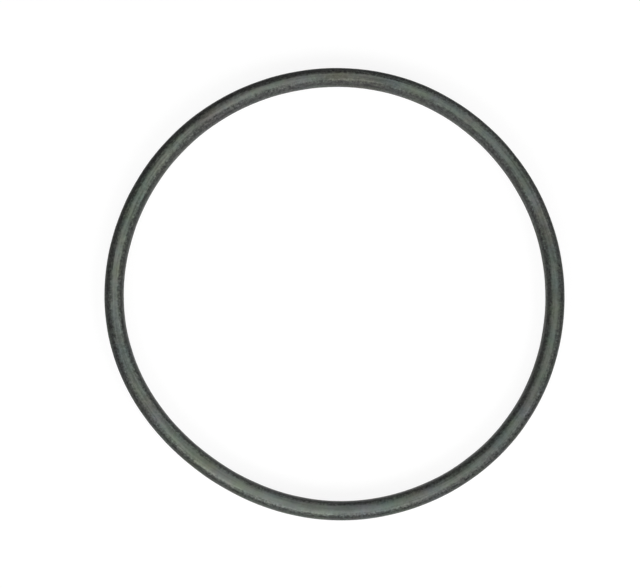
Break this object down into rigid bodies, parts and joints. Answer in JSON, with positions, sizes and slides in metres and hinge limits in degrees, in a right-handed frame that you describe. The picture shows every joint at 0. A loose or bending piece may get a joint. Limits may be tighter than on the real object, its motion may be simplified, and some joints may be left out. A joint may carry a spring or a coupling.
{
  "type": "rubber o-ring",
  "caption": "Plain rubber o-ring: a round-section sealing ring moulded in one piece, with a fine trimmed mould line on its bore and rim.",
  "frame": {"origin": "the ring's centre, on its axis and halfway up its height", "axes": "+Z along the ring's axis, straight up as the ring lies flat; +X and +Y across the ring in the plane of its mould line"},
  "size_m": [0.0862, 0.0862, 0.0036],
  "materials": {
    "rubber": "satin dark grey moulded rubber, nearly neutral with a slight green cast"
  },
  "bodies": {
    "root": {"o_ring": "rubber"}
  },
  "joints": []
}
